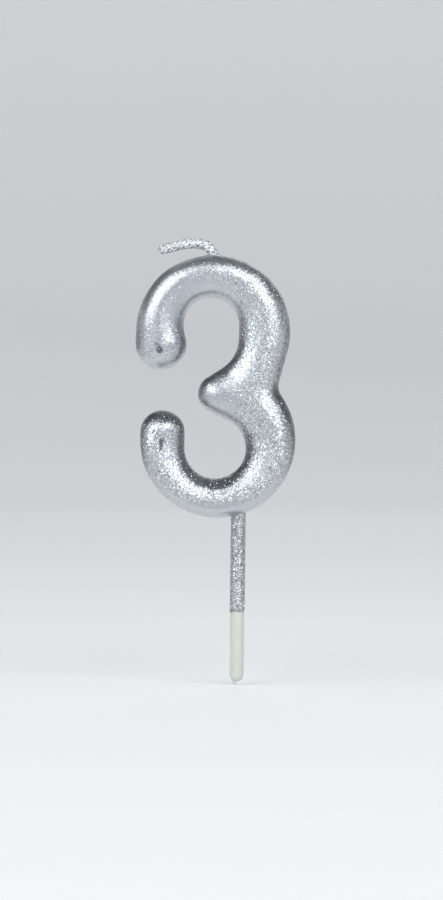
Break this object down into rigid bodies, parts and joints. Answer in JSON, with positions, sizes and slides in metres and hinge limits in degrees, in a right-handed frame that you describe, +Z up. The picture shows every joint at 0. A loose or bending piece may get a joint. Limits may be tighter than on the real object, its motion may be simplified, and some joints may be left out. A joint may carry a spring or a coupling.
{
  "type": "number birthday candle",
  "caption": "Numeral three moulded in wax as a rounded tube, with a silver glitter skin, a folded wick on top and a plastic pick below for pushing into a cake.",
  "frame": {"origin": "on the pick's axis, at the lower edge of the pick's lacquer, which is level with the top of the cake", "axes": "+Z up along the pick, +X to the viewer's right when the 3 reads the right way round, -Y out of the front face"},
  "size_m": [0.0389, 0.0104, 0.1083],
  "materials": {
    "wax": "smooth paraffin wax, slightly translucent",
    "silver_lacquer": "satin metallic lacquer with fine silver glitter",
    "cotton_wick": "waxed cotton braid under silver lacquer",
    "ivory_plastic": "moulded ivory plastic, satin"
  },
  "bodies": {
    "candle": {"wax_core": "wax", "silver_coat": "silver_lacquer", "wick_core": "cotton_wick", "pick": "ivory_plastic", "pick_coat": "silver_lacquer"},
    "folded_wick": {"wick_tail": "cotton_wick"}
  },
  "joints": [
    {"name": "wick_bend", "type": "hinge", "parent": "candle", "child": "folded_wick", "pos_m": [-0.0069, 0, 0.08875], "axis": [0, 1, 0], "range_deg": [-12, 90]}
  ]
}
